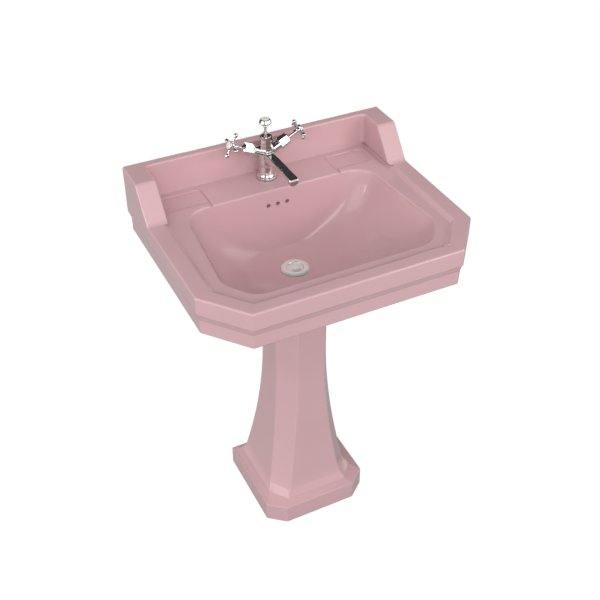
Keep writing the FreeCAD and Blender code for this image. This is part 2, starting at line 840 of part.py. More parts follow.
def basin():
    body = new_body("basin")
    rim = rim_plan()
    add_apron(body, rim)
    add_upstand(body)
    soften_outside(body)
    cut_tray(body, rim)
    hollow_upstand(body)
    soften_inside(body)
    hollow = rim.inset(S.apron_inset + S.china_wall, S.china_wall)
    pocket(body, hollow.sketch(body, APRON_FOOT), DECK_FOOT - APRON_FOOT, backwards=True)
    add_bowl_shell(body)
    cut_bowl(body)
    cut_overflow(body)
    cut_fixings(body)
    cut_soap_recesses(body)
    return body


# ---------------------------------------------------------------------------------------------------
# Pedestal
# ---------------------------------------------------------------------------------------------------


def pedestal_plans():
    """Outlines of the plinth and of the riser's foot and top."""
    plinth = standing(S.plinth_half, S.plinth_gap, S.plinth_depth, S.plinth_cut_x, S.plinth_cut_y)
    foot = standing(S.riser_foot_half, S.riser_foot_gap, S.riser_foot_depth, S.riser_foot_cut_x, S.riser_foot_cut_y)
    top = standing(S.riser_top_half, S.riser_top_gap, S.riser_top_depth, S.riser_top_cut_x, S.riser_top_cut_y)
    return plinth, foot, top


def flare(body, foot, inset=0):
    """Sketches from the riser up to the straight column; the sides sweep in along a power curve."""
    sketches = []
    for step in (0, 0.16, 0.34, 0.52, 0.7, 0.86, 1):
        plan = foot.between(COLUMN, 1 - (1 - step) ** 1.83).inset(inset)
        height = S.riser_top_level * (1 - step) + S.flare_top_level * step
        sketches.append(plan.sketch(body, height))
    return sketches


def add_pedestal_outside(body):
    plinth, foot, top = pedestal_plans()
    pad(body, plinth.sketch(body, 0), S.plinth_height)
    soften(body, S.rim_arris * 0.6, lambda edge: level(edge, S.plinth_height.value))
    loft(body, [plinth.inset(S.rim_arris).sketch(body, S.plinth_height), foot.sketch(body, S.riser_foot_level)],
         ruled=True)
    loft(body, [foot.sketch(body, S.riser_foot_level), top.sketch(body, S.riser_top_level)], ruled=True)
    loft(body, flare(body, top))
    pad(body, COLUMN.sketch(body, S.flare_top_level), COLUMN_TOP - S.flare_top_level)


def cut_pedestal_inside(body):
    plinth, foot, top = pedestal_plans()
    wall = S.pedestal_wall
    pocket(body, plinth.inset(wall).sketch(body, 0), S.plinth_height - wall, backwards=True)
    under = plinth.inset(wall * 2).sketch(body, S.plinth_height - wall)
    loft(body, [under, top.inset(wall).sketch(body, S.riser_top_level)], cut=True, ruled=True)
    loft(body, flare(body, top, wall), cut=True)
    inside = COLUMN.inset(wall).sketch(body, S.flare_top_level)
    pocket(body, inside, COLUMN_TOP - S.flare_top_level, backwards=True)


def cut_pedestal_back(body):
    """The slot up the back that lets the pipes in."""
    half = S.back_opening_half
    slot = [(-half, 0), (half, 0), (half, COLUMN_TOP), (-half, COLUMN_TOP)]
    sketch = outline(body, "XZ_Plane", slot, -PLINTH_BACK)
    pocket(body, sketch, PLINTH_BACK - COLUMN.back + S.pedestal_wall + 1, backwards=True)


def add_lugs(body):
    """Two lugs in the plinth's back corners, each with a hole for a floor screw."""
    for side in (-1, 1):
        outer = (S.plinth_half - S.pedestal_wall + 1) * side
        inner = (S.plinth_half - S.pedestal_wall + 1 - S.lug_size) * side
        back = PLINTH_BACK - S.pedestal_wall + 1
        lug = [(inner, back - S.lug_size, 6), (outer, back - S.lug_size), (outer, back), (inner, back)]
        pad(body, outline(body, "XY_Plane", lug, 0), S.lug_thick)
        x, y = lug_centre(side)
        pocket(body, circle(body, "XY_Plane", x, y, S.lug_hole, 0), S.lug_thick, backwards=True)


def lug_centre(side):
    x = (S.plinth_half - S.pedestal_wall - S.lug_size / 2) * side
    return x, PLINTH_BACK - S.pedestal_wall - S.lug_size / 2


def pedestal():
    body = new_body("pedestal")
    add_pedestal_outside(body)
    cut_pedestal_inside(body)
    cut_pedestal_back(body)
    add_lugs(body)
    return body


def pedestal_bedding():
    """Soft bedding between the top of the column and the seat under the basin."""
    body = new_body("pedestal_bedding")
    pad(body, COLUMN.sketch(body, COLUMN_TOP), S.bedding)
    inside = COLUMN.inset(S.pedestal_wall).sketch(body, COLUMN_TOP)
    pocket(body, inside, S.bedding, backwards=True)
    half = S.back_opening_half
    gap = [(-half, 0), (half, 0), (half, COLUMN.back + 1), (-half, COLUMN.back + 1)]
    pocket(body, outline(body, "XY_Plane", gap, COLUMN_TOP), S.bedding, backwards=True)
    return body


# ---------------------------------------------------------------------------------------------------
# Mixer tap: body, aerator and fixings under the deck
# ---------------------------------------------------------------------------------------------------

FLANGE_FOOT = DECK_LEVEL + S.base_seal
TILT = S.valve_tilt.value
SIDES = {"hot": -1, "cold": 1}


def valve_turn(side):
    """Turns Z onto the axis of the valve on this side."""
    return Rotation(Vector(0, 1, 0), side * (90 - TILT))


def at_valve(body, side):
    """Puts a body drawn about Z onto a valve's axis, measured from where the two axes meet."""
    put(body, 0, TAP_AT, FLANGE_FOOT + S.valve_origin, Vector(0, 1, 0), side * (90 - TILT))
    return body


def at_tap(body, height=0):
    put(body, 0, TAP_AT, FLANGE_FOOT + height)
    return body


def add_spout(body):
    """Flat-sided spout that runs forward and turns down at its tip."""
    tip = -S.spout_reach
    front = tip - S.aerator_radius - 0.6
    heel = tip + S.aerator_radius + 2
    side_view = [
        (-2, S.spout_top_root - 24),
        (-S.hub_radius, S.spout_top_root - 20),
        (heel + 12, S.spout_outlet + 3.5, 6),
        (heel, S.spout_outlet),
        (front, S.spout_outlet),
        (front, S.spout_top_tip, 8),
        (-2, S.spout_top_root),
    ]
    pad(body, outline(body, "YZ_Plane", side_view), S.spout_width, both_ways=True)
    half = S.spout_width.value / 2

    def on_side(edge):
        box = edge.BoundBox
        flat = abs(box.XMax - box.XMin) < 0.01 and abs(abs(box.XMin) - half) < 0.01
        return flat and box.YMax < -3 and box.ZMin > S.spout_outlet.value - 0.01

    soften(body, 2.4, on_side)


def add_tap_column(body):
    """Flange, bell and hub in one turned outline."""
    top = S.hub_top
    turn(body, outline(body, "XZ_Plane", [
        (0, 0),
        (S.flange_radius, 0),
        (S.flange_radius, S.flange_height, 1.5),
        (S.flange_radius - 3, S.flange_height + 1.5),
        (S.bell_radius + 1, S.flange_height + 6, 5),
        (S.bell_radius, S.hub_foot - 4, 6),
        (S.hub_radius, S.hub_foot + 2, 3),
        (S.hub_radius, top - 3, 2),
        (S.hub_radius - 2, top),
        (0, top),
    ]))


def circle_on_valve(body, side, radius, along=0):
    """A circle square to a valve's axis, this far along it."""
    lean = valve_turn(side)
    sketch = new_sketch(body, "XY_Plane", S.valve_origin, lean)
    shift = lean.multVec(Vector(0, 0, 1))
    bind(sketch, "AttachmentOffset.Base.x", sized(along) * shift.x)
    bind(sketch, "AttachmentOffset.Base.z", S.valve_origin + sized(along) * shift.z)
    return draw_circle(sketch, radius)


def mixer_body():
    """Casting with the spout; bored for the lift rod, the two valves, the tails and the stud."""
    body = new_body("mixer_body")
    add_spout(body)
    add_tap_column(body)
    for side in SIDES.values():
        pad(body, circle_on_valve(body, side, S.arm_radius), S.arm_end)
    seat = circle(body, "XY_Plane", 0, 0, S.bonnet_foot_flat + 1.2, S.hub_top)
    pocket(body, seat, S.arm_end, backwards=True)
    rod_hole = S.rod_radius + S.easy_gap
    pocket(body, circle(body, "XY_Plane", 0, 0, rod_hole, 0), S.hub_top, backwards=True)
    for side in SIDES.values():
        bore = circle_on_valve(body, side, S.cartridge_radius + S.thread_gap, S.spindle_foot - 8)
        pocket(body, bore, S.arm_end - S.spindle_foot + 9, backwards=True)
        socket = circle(body, "XY_Plane", S.tail_spread * side, S.tail_back, S.tail_radius + S.thread_gap, 0)
        pocket(body, socket, S.tail_socket, backwards=True)
    stud = circle(body, "XY_Plane", 0, -S.stud_forward, S.stud_radius + S.thread_gap, 0)
    pocket(body, stud, S.tail_socket, backwards=True)
    outlet = circle(body, "XY_Plane", 0, -S.spout_reach, S.aerator_radius - 2.5, S.spout_outlet)
    pocket(body, outlet, S.aerator_height, backwards=True)
    return at_tap(body)


def tap_base_seal():
    body = ring("tap_base_seal", S.flange_radius - 1, S.tap_hole - 0.5, 0, S.base_seal)
    return at_tap(body, -S.base_seal)


def aerator_housing():
    body = turned("aerator_housing", [
        (S.aerator_radius - 1.6, -S.aerator_height * 0.6),
        (S.aerator_radius - 0.6, -S.aerator_height * 0.6),
        (S.aerator_radius, -S.aerator_height * 0.45),
        (S.aerator_radius, 0),
        (S.aerator_radius - 2.6, 0),
        (S.aerator_radius - 2.6, S.aerator_height - 1),
        (S.aerator_radius - 4, S.aerator_height - 1),
        (S.aerator_radius - 4, -1),
        (S.aerator_radius - 1.6, -1),
    ])
    put(body, 0, SPOUT_TIP, FLANGE_FOOT + S.spout_outlet)
    return body


def aerator_insert():
    """Perforated disc in the mouth of the aerator."""
    body = new_body("aerator_insert")
    radius = S.aerator_radius - 1.65
    pad(body, circle(body, "XY_Plane", 0, 0, radius, -S.aerator_height * 0.5), 2)
    for count, reach in ((6, 0.4), (12, 0.75)):
        for k in range(count):
            angle = 2 * math.pi * k / count
            x, y = radius * (reach * math.cos(angle)), radius * (reach * math.sin(angle))
            hole = circle(body, "XY_Plane", x, y, 0.8, -S.aerator_height * 0.5)
            pocket(body, hole, 2, backwards=True)
    put(body, 0, SPOUT_TIP, FLANGE_FOOT + S.spout_outlet)
    return body


def horseshoe(name, radius, thick, drop):
    """Open-sided washer under the deck: the tails and the rod pass through its slot."""
    body = new_body(name)
    pad(body, circle(body, "XY_Plane", 0, 0, radius), thick)
    slot = [(-S.horseshoe_slot, -4, 3), (S.horseshoe_slot, -4, 3),
            (S.horseshoe_slot, radius + 1), (-S.horseshoe_slot, radius + 1)]
    pocket(body, outline(body, "XY_Plane", slot), thick, backwards=True)
    hole = circle(body, "XY_Plane", 0, -S.stud_forward, S.stud_radius + S.easy_gap)
    pocket(body, hole, thick, backwards=True)
    put(body, 0, TAP_AT, DECK_FOOT - drop - thick)
    return body


def tap_stud():
    body = turned("tap_stud", [
        (0, -S.stud_length), (S.stud_radius - 0.8, -S.stud_length),
        (S.stud_radius, -S.stud_length + 1), (S.stud_radius, S.tail_socket), (0, S.tail_socket),
    ])
    put(body, 0, TAP_AT - S.stud_forward, FLANGE_FOOT)
    return body


def tap_stud_nut():
    body = nut("tap_stud_nut", S.stud_nut_flat, S.stud_radius + S.thread_gap, 0, S.stud_nut_height)
    drop = S.horseshoe_seal + S.horseshoe_plate + S.stud_nut_height
    put(body, 0, TAP_AT - S.stud_forward, DECK_FOOT - drop)
    return body


def beaded_pipe(name, radius, bore, length, end):
    """Pipe along its own Z with a stop bead, so that a fitting goes this far over its free end at Z 0."""
    bead = radius + S.bead_rise
    return turned(name, [
        (bore, 0), (radius, 0), (radius, end), (bead, end, 0.5), (bead, end + S.bead_width, 0.5),
        (radius, end + S.bead_width), (radius, length), (bore, length),
    ])


def tail_bend(body, radius, shift):
    """Circles up the tail's bend, which moves over sideways in a soft S."""
    circles = []
    for step in (0, 0.2, 0.4, 0.6, 0.8, 1):
        over = shift * ((1 - math.cos(math.pi * step)) / 2)
        circles.append(circle(body, "XY_Plane", over, 0, radius, S.tail_straight + S.tail_bend * step))
    return circles


def inlet_tail(word, side):
    """Copper tail: screwed into the tap's base, bent past the outlet pipe, open at its lower end."""
    bore = S.tail_radius - S.tail_wall
    shift = (S.tail_spread - S.tail_out) * side
    bend_top = S.tail_straight + S.tail_bend
    upper = S.tail_below + S.tail_socket - bend_top
    body = beaded_pipe(word + "_tail", S.tail_radius, bore, S.tail_straight, S.free_end)
    loft(body, tail_bend(body, S.tail_radius, shift))
    pad(body, circle(body, "XY_Plane", shift, 0, S.tail_radius, bend_top), upper)
    loft(body, tail_bend(body, bore, shift), cut=True)
    pocket(body, circle(body, "XY_Plane", shift, 0, bore, bend_top), upper, backwards=True)
    put(body, S.tail_out * side, TAP_AT + S.tail_back, FLANGE_FOOT - S.tail_below)
    return body


# ---------------------------------------------------------------------------------------------------
# Mixer tap: valves and handles
# ---------------------------------------------------------------------------------------------------


def cartridge(word, side):
    """Brass body of the valve, screwed into the arm; the spindle turns in it."""
    bore = S.spindle_radius + S.running_gap
    foot = S.spindle_foot - 4
    body = turned(word + "_cartridge", [
        (bore, foot + 4), (S.cartridge_radius, foot + 4), (S.cartridge_radius, S.sleeve_end - 8),
        (S.cartridge_radius - 2, S.sleeve_end - 4), (bore, S.sleeve_end - 4),
    ])
    return at_valve(body, side)


def valve_seat(word, side):
    """Rubber seat under the cartridge."""
    body = ring(word + "_valve_seat", S.cartridge_radius - 0.5, 3, S.spindle_foot - 3, 2.6)
    return at_valve(body, side)


def valve_bonnet(word, side):
    """Six-sided chrome cover over the cartridge, with a turned collar at its foot."""
    body = new_body(word + "_valve_bonnet")
    foot = S.arm_end
    end = S.sleeve_end
    turn(body, outline(body, "XZ_Plane", [
        (0, foot), (S.collar_radius, foot, 1), (S.collar_radius, foot + 4, 1.5), (0, foot + 4),
    ]))
    shrink = 0.93
    lower = outline(body, "XY_Plane", polygon(6, S.sleeve_flat), foot + 3)
    upper = outline(body, "XY_Plane", polygon(6, S.sleeve_flat * shrink), end - 3)
    loft(body, [lower, upper], ruled=True)
    turn(body, outline(body, "XZ_Plane", [
        (0, end - 4), (S.sleeve_flat * shrink, end - 4), (S.sleeve_flat * shrink, end - 2.5, 1.2),
        (S.spindle_radius + 2.5, end), (0, end),
    ]))
    turn(body, outline(body, "XZ_Plane", [
        (0, foot - 1), (S.cartridge_radius + 0.1, foot - 1), (S.cartridge_radius + 0.1, end - 8),
        (S.cartridge_radius - 1.9, end - 3.9), (0, end - 3.9),
    ]), cut=True)
    hole = circle(body, "XY_Plane", 0, 0, S.spindle_radius + S.easy_gap, end - 5)
    pocket(body, hole, 6, backwards=True)
    return at_valve(body, side)


def spindle(word, side):
    """Turning spindle from the cartridge out to the handle."""
    end = S.handle_at + 4
    radius = S.spindle_radius
    body = turned(word + "_spindle", [
        (0, S.spindle_foot + 1), (radius, S.spindle_foot + 1), (radius, S.sleeve_end + 1),
        (radius - 0.8, S.sleeve_end + 2), (radius - 0.8, end), (0, end),
    ])
    return at_valve(body, side)


def handle(word, side):
    """Cross handle: a turned hub with four waisted arms that end in balls."""
    body = new_body(word + "_handle")
    at = S.handle_at
    bore = S.spindle_radius - 0.8
    hub = outline(body, "XZ_Plane", [
        (bore, at - 13), (5.2, at - 13, 0.8), (5.6, at - 8, 2), (4.6, at - 6, 1.5), (S.handle_hub - 1, at - 3, 2),
        (S.handle_hub, at + 2, 2), (S.handle_hub + 1.4, at + 5.5, 1), (S.handle_hub + 1.4, at + 7.5, 0.8),
        (S.cap_radius, at + 7.5), (S.cap_radius, at + 5), (bore, at + 5),
    ])
    turn(body, hub)
    ball = S.handle_reach
    arm = outline(body, "XZ_Plane", [
        (S.handle_hub - 3, at), (S.handle_hub - 3, at + 3.6), (S.handle_hub + 2, at + S.grip_radius, 2),
        (ball - S.ball_radius - 2, at + S.grip_radius, 1), (ball - S.ball_radius + 0.4, at + S.ball_radius, 3.4),
        (ball + S.ball_radius, at + S.ball_radius, S.ball_radius * 0.97), (ball + S.ball_radius, at),
    ])
    first = turn_on_line(body, arm, at)
    pattern = body.newObject("PartDesign::PolarPattern", "PolarPattern")
    pattern.Originals = [first]
    pattern.Axis = (hub, ["V_Axis"])
    pattern.Angle = 360
    pattern.Occurrences = 4
    body.Tip = pattern
    doc.recompute()
    return at_valve(body, side)


def turn_on_line(body, sketch, height):
    """Turns an outline about the level line at this height in its own sketch."""
    height = sized(height)
    line = sketch.addGeometry(Part.LineSegment(Vector(0, height.value, 0), Vector(10, height.value, 0)), True)
    pin_point(sketch, line, 1, sized(0), height)
    pin_point(sketch, line, 2, sized(10), height)
    return turn(body, sketch, "Axis0")


def handle_screw(word, side):
    """Small screw that holds the handle on the spindle, hidden by the cap."""
    at = S.handle_at
    body = turned(word + "_handle_screw", [
        (0, at + 4), (S.spindle_radius - 1, at + 4), (S.spindle_radius - 1, at + 5),
        (4.5, at + 5), (4.5, at + 6), (3.5, at + 6.6), (0, at + 6.6),
    ])
    return at_valve(body, side)


def handle_cap(word, side):
    """Domed china disc in the end of the handle."""
    at = S.handle_at
    body = turned(word + "_handle_cap", [
        (0, at + 6.8), (S.cap_radius - 0.1, at + 6.8), (S.cap_radius - 0.1, at + 8.2, 0.6),
        (S.cap_radius * 0.55, at + 9.6, 4), (0, at + 9.9),
    ])
    return at_valve(body, side)


# ---------------------------------------------------------------------------------------------------
# Lift rod
# ---------------------------------------------------------------------------------------------------


def rod_bonnet():
    """Eight-sided bell on top of the tap; the lift rod slides in its collar."""
    body = new_body("rod_bonnet")
    top = S.bonnet_height
    turn(body, outline(body, "XZ_Plane", [
        (0, 0), (S.bonnet_foot_flat + 0.6, 0, 0.8), (S.bonnet_foot_flat + 0.6, 2.4, 0.8), (0, 2.4),
    ]))
    levels = ((2, 1), (6, 0.93), (14, 0.86), (26, 0.8), (32, 0.78))
    sketches = []
    for height, share in levels:
        sketches.append(outline(body, "XY_Plane", polygon(8, S.bonnet_foot_flat * share), height))
    loft(body, sketches, ruled=True)
    turn(body, outline(body, "XZ_Plane", [
        (0, 31), (S.bonnet_top_flat, 31), (S.bonnet_top_flat, 33.5, 1.5), (S.bonnet_top_flat - 5, top - 1.5, 2),
        (5, top), (5, top + 3, 1), (0, top + 3),
    ]))
    turn(body, outline(body, "XZ_Plane", [
        (0, -1), (S.bonnet_foot_flat - 3.5, -1), (S.bonnet_top_flat - 4, 16), (S.bonnet_top_flat - 4, 30, 2), (0, 30),
    ]), cut=True)
    hole = circle(body, "XY_Plane", 0, 0, S.rod_radius + S.running_gap, 29)
    pocket(body, hole, top + 4 - 29, backwards=True)
    return at_tap(body, S.hub_top)


def knob_foot():
    """Underside of the lift knob, above the tap flange."""
    return S.hub_top + S.bonnet_height + 3 + S.knob_gap


def lift_knob():
    """Mushroom knob with a shallow seat for its disc."""
    r = S.knob_radius
    tall = S.knob_height
    body = turned("lift_knob", [
        (S.rod_radius, 0), (4, 0, 0.8), (4.6, 3, 1.5), (3.6, 4.4, 1), (r * 0.62, 7.5, 4), (r, 10.2, 2.5),
        (r, 13, 3), (r * 0.8, tall - 1, 2), (r * 0.68, tall), (r * 0.66, tall - 0.8), (S.rod_radius, tall - 0.8),
    ])
    return at_tap(body, knob_foot())


def knob_disc():
    """China disc set in the top of the knob."""
    r = S.knob_radius * 0.66
    tall = S.knob_height - 0.8
    body = turned("knob_disc", [(0, tall), (r - 0.1, tall), (r - 0.1, tall + 0.8, 0.3), (0, tall + 1.5)])
    return at_tap(body, knob_foot())


def lift_rod():
    """Plain rod from the knob down through the tap to the clamp."""
    foot = -S.rod_below
    top = knob_foot() + S.knob_height - 0.8
    return at_tap(turned("lift_rod", [
        (0, foot), (S.rod_radius - 0.6, foot), (S.rod_radius, foot + 0.6), (S.rod_radius, top), (0, top),
    ]))


def strap_at():
    """The strap hangs here, towards the wall from the waste."""
    return DRAIN_AT + S.pivot_reach + S.lever_arm


def strap():
    """Flat strap from the clamp down to the lever, cranked forward to reach it."""
    body = new_body("strap")
    half = S.strap_thick / 2
    reach = TAP_AT - S.clamp_size / 2 - half - strap_at()
    top = clamp_foot() + S.clamp_size - PIVOT_LEVEL - S.rod_travel / 2
    side_view = [
        (-half, -14), (half, -14), (half, 6), (reach + half, 20), (reach + half, top),
        (reach - half, top), (reach - half, 20 + S.strap_thick), (-half, 6 + S.strap_thick),
    ]
    pad(body, outline(body, "YZ_Plane", side_view), S.strap_width, both_ways=True)
    for drop in (0, -9):
        hole = circle(body, "XZ_Plane", 0, drop, S.lever_radius + 1)
        pocket(body, hole, S.strap_thick * 2, both_ways=True)
    put(body, 0, strap_at(), PIVOT_LEVEL + S.rod_travel / 2)
    return body


def clamp_foot():
    return FLANGE_FOOT - S.rod_below + 6


def rod_clamp():
    """Block that grips the lift rod and carries the strap."""
    body = new_body("rod_clamp")
    half = S.clamp_size / 2
    square = [(-half, -half), (half, -half), (half, half), (-half, half)]
    pad(body, outline(body, "XY_Plane", square), S.clamp_size)
    pocket(body, circle(body, "XY_Plane", 0, 0, S.rod_radius + S.thread_gap), S.clamp_size, backwards=True)
    put(body, 0, TAP_AT, clamp_foot())
    return body


def clamp_screw():
    """Thumb screw on the wall side of the clamp."""
    half = S.clamp_size / 2
    body = turned("clamp_screw", [(0, half), (4, half), (4, half + 4, 0.5), (3, half + 5), (0, half + 5)])
    put(body, 0, TAP_AT, clamp_foot() + half, Vector(1, 0, 0), -90)
    return body


# ---------------------------------------------------------------------------------------------------
# Pop-up waste
# ---------------------------------------------------------------------------------------------------

LEVER_TILT = math.degrees(math.atan(S.rod_travel.value / 2 / S.lever_arm.value))
PIVOT_DROP = -S.pivot_drop
PIVOT_LEVEL = DRAIN_LEVEL - S.pivot_drop
TOP_SEAL = 1


def at_waste(body, height=0):
    """Puts a body drawn about Z on the waste's axis, measured from the drain."""
    put(body, 0, DRAIN_AT, DRAIN_LEVEL + height)
    return body


def waste_body():
    """Flange, threaded tube and tail in one, with a side port for the lever and a slot for the overflow."""
    body = new_body("waste_body")
    shoulder = -S.waste_shoulder
    foot = -S.waste_foot
    rise = TOP_SEAL + S.waste_flange_rise
    seat = S.plug_radius + S.easy_gap
    turn(body, outline(body, "XZ_Plane", [
        (S.waste_tail_bore, foot), (S.waste_tail, foot), (S.waste_tail, shoulder - 3), (S.waste_tube, shoulder),
        (S.waste_tube, TOP_SEAL), (S.waste_flange, TOP_SEAL), (S.waste_flange, TOP_SEAL + 0.8, 0.3),
        (S.waste_flange - 4, rise, 5), (seat + 0.8, rise, 0.4), (seat, rise - 1), (seat, -2),
        (S.waste_bore, -4), (S.waste_bore, shoulder + 6), (S.waste_tail_bore, shoulder + 2),
    ]))
    wall = S.waste_bore + 1
    port = circle(body, "XZ_Plane", 0, PIVOT_DROP, S.port_radius, -wall)
    pad(body, port, S.pivot_reach + S.pivot_ball - wall, backwards=True)
    bore = circle(body, "XZ_Plane", 0, PIVOT_DROP, S.pivot_ball + 0.3, 3 - wall)
    pocket(body, bore, S.pivot_reach + S.pivot_ball)
    low = -S.channel_drop
    half = S.channel_half * 0.8
    slot = [(-half, low), (half, low), (half, low + S.channel_height), (-half, low + S.channel_height)]
    pocket(body, outline(body, "XZ_Plane", slot, 6 - wall), S.waste_tube)
    return at_waste(body)


def waste_top_seal():
    return at_waste(ring("waste_top_seal", S.waste_flange - 1, DRAIN_HOLE, 0, TOP_SEAL))


def waste_lower_seal():
    body = ring("waste_lower_seal", S.drain_boss - 1.5, S.waste_tube + 0.1, -S.waste_seal, S.waste_seal)
    return at_waste(body, -S.drain_boss_height)


def waste_backnut():
    body = nut("waste_backnut", S.backnut_flat, S.waste_tube + S.thread_gap, 0, S.backnut_height)
    return at_waste(body, -S.drain_boss_height - S.waste_seal - S.backnut_height)


def plug():
    """Domed plug with a finned stem; the lever's tip lies in the eye at the foot of the stem."""
    body = new_body("plug")
    r = S.plug_radius
    rise = TOP_SEAL + S.waste_flange_rise
    eye = PIVOT_DROP - S.pivot_reach * (S.rod_travel / 2 / S.lever_arm)
    turn(body, outline(body, "XZ_Plane", [
        (0, eye - 7), (S.plug_stem, eye - 7, 1), (S.plug_stem, -4.4), (r - 3, -4.4), (r - 3, -3.9), (r - 5, -3.9),
        (r - 5, -1.2), (r, -1.2), (r, rise - 1.2, 0.8), (r * 0.5, rise + 0.9, 20), (0, rise + 1.2),
    ]))
    fin = S.waste_bore - 0.6
    for plane in ("XZ_Plane", "YZ_Plane"):
        plate = [(-fin, -24), (fin, -24), (fin, -10), (r - 5, -4.2), (5 - r, -4.2), (-fin, -10)]
        pad(body, outline(body, plane, plate), 1.6, both_ways=True)
    hole = circle(body, "XZ_Plane", 0, eye, S.lever_radius + 1)
    pocket(body, hole, S.plug_stem * 3, both_ways=True)
    return at_waste(body)


def plug_seal():
    r = S.plug_radius
    return at_waste(ring("plug_seal", r - 1.9, r - 4.95, -3.85, 2.6))


def at_pivot(body):
    """Puts a body drawn along Y at the lever's pivot, with the lever's tail raised."""
    put(body, 0, DRAIN_AT + S.pivot_reach, PIVOT_LEVEL, Vector(1, 0, 0), LEVER_TILT)
    return body


def pivot_lever():
    """Ball lever: the ball sits in the side port, the tip in the plug's eye, the tail in the strap."""
    body = new_body("pivot_lever")
    tip = S.pivot_reach + 4
    tail = S.lever_arm + S.lever_tail
    rod = outline(body, "YZ_Plane", [(-tip, 0), (tail, 0), (tail, S.lever_radius), (-tip, S.lever_radius)])
    turn(body, rod, "H_Axis")
    ball = body.newObject("PartDesign::AdditiveSphere", "Ball")
    bind(ball, "Radius", S.pivot_ball)
    doc.recompute()
    return at_pivot(body)


def lever_clip():
    """Spring clip that keeps the lever in the strap: a plate each side of it and a bridge."""
    body = new_body("lever_clip")
    half = 3.6
    out = S.strap_width / 2 + 2
    for side in (-1, 1):
        inner = S.lever_arm + side * 3.6
        plate = [(-half, -half, 1), (out, -half), (out, half), (-half, half, 1)]
        sketch = outline(body, "XZ_Plane", plate, -inner)
        pad(body, sketch, 1, backwards=side > 0)
    bridge = [(out - 1, -half), (out, -half), (out, half), (out - 1, half)]
    pad(body, outline(body, "XZ_Plane", bridge, -S.lever_arm - 4.6), 9.2)
    hole = circle(body, "XZ_Plane", 0, 0, S.lever_radius + 0.02, -S.lever_arm - 5)
    pocket(body, hole, 10, backwards=True)
    return at_pivot(body)


def at_port(body):
    """Puts a body drawn about Z along the side port, measured from the waste's axis."""
    put(body, 0, DRAIN_AT, PIVOT_LEVEL, Vector(1, 0, 0), -90)
    return body


def pivot_seat():
    """Soft seat that holds the lever's ball in the port."""
    end = S.pivot_reach + S.pivot_ball
    body = turned("pivot_seat", [
        (3.6, end - 0.7), (S.pivot_ball, end - 0.7), (S.pivot_ball, end), (S.port_radius, end),
        (S.port_radius, end + 2.2), (3.6, end + 2.2),
    ])
    return at_port(body)


def pivot_nut():
    end = S.pivot_reach + S.pivot_ball
    foot = end - 7
    body = nut("pivot_nut", S.port_radius + 2.4, S.port_radius + S.thread_gap, foot, 9.2)
    pad(body, outline(body, "XY_Plane", polygon(6, S.port_radius + 2.4), end + 2.2), 2.4)
    pocket(body, circle(body, "XY_Plane", 0, 0, 4.2, end + 2), 3, backwards=True)
    return at_port(body)


# ---------------------------------------------------------------------------------------------------
# Bottle trap and outlet
# ---------------------------------------------------------------------------------------------------


TRAP_TOP = DRAIN_LEVEL - S.trap_drop
OUTLET_LEVEL = TRAP_TOP - S.collar_height - S.outlet_drop


def at_trap(body):
    """Puts a body drawn about Z on the waste's axis, measured from the top of the trap's collar."""
    put(body, 0, DRAIN_AT, TRAP_TOP)
    return body


def trap_body():
    """Bottle body with its dip pipe inside, an inlet collar on top and an outlet collar at the back."""
    body = new_body("trap_body")
    bore = S.waste_tail + 0.3
    dip_bore = S.dip_radius - 1.5
    inside = S.trap_radius - S.trap_wall
    stop = S.trap_drop - S.waste_foot - 2
    shoulder = -S.collar_height
    foot = shoulder - S.trap_height
    dip_foot = foot - S.dip_depth
    turn(body, outline(body, "XZ_Plane", [
        (dip_bore, dip_foot), (S.dip_radius, dip_foot), (S.dip_radius, shoulder + 4),
        (inside, shoulder - 3, 3), (inside, foot), (S.trap_radius, foot),
        (S.trap_radius, shoulder, 4), (S.trap_collar, shoulder + 9), (S.trap_collar, 0),
        (bore, 0), (bore, stop), (dip_bore, stop),
    ]))
    start = inside + 1
    outlet = shoulder - S.outlet_drop
    collar = circle(body, "XZ_Plane", 0, outlet, S.trap_collar, -start)
    pad(body, collar, S.outlet_reach - start, backwards=True)
    through = circle(body, "XZ_Plane", 0, outlet, S.waste_tail_bore, -S.dip_radius - 4)
    pocket(body, through, S.outlet_reach)
    socket = circle(body, "XZ_Plane", 0, outlet, bore, S.pipe_insert + 2 - S.outlet_reach)
    pocket(body, socket, S.pipe_insert + 4)
    return at_trap(body)


def trap_cup():
    """Screw-on cup at the bottom of the trap."""
    inside = S.trap_radius - S.trap_wall
    body_foot = -S.collar_height - S.trap_height
    foot = body_foot - S.cup_depth
    ledge = body_foot - S.cup_seal
    rim = S.trap_radius + S.cup_rim
    top = body_foot + S.cup_lap
    gap = S.trap_radius + 0.15
    return at_trap(turned("trap_cup", [
        (0, foot), (S.trap_radius - 5, foot, 6), (S.trap_radius, foot + 12, 4),
        (S.trap_radius, ledge - 3), (rim, ledge), (rim, top, 1), (gap, top), (gap, ledge), (inside, ledge),
        (inside, foot + 13, 4), (S.trap_radius - 7, foot + 3, 4), (0, foot + 3),
    ]))


def trap_cup_seal():
    foot = -S.collar_height - S.trap_height - S.cup_seal
    return at_trap(ring("trap_cup_seal", S.trap_radius, S.trap_radius - S.trap_wall + 0.2, foot, S.cup_seal))


def union_seal(name):
    """Rubber ring on the mouth of a collar, round the pipe that goes in."""
    return ring(name, S.trap_collar, S.waste_tail + 0.1, 0, S.union_seal)


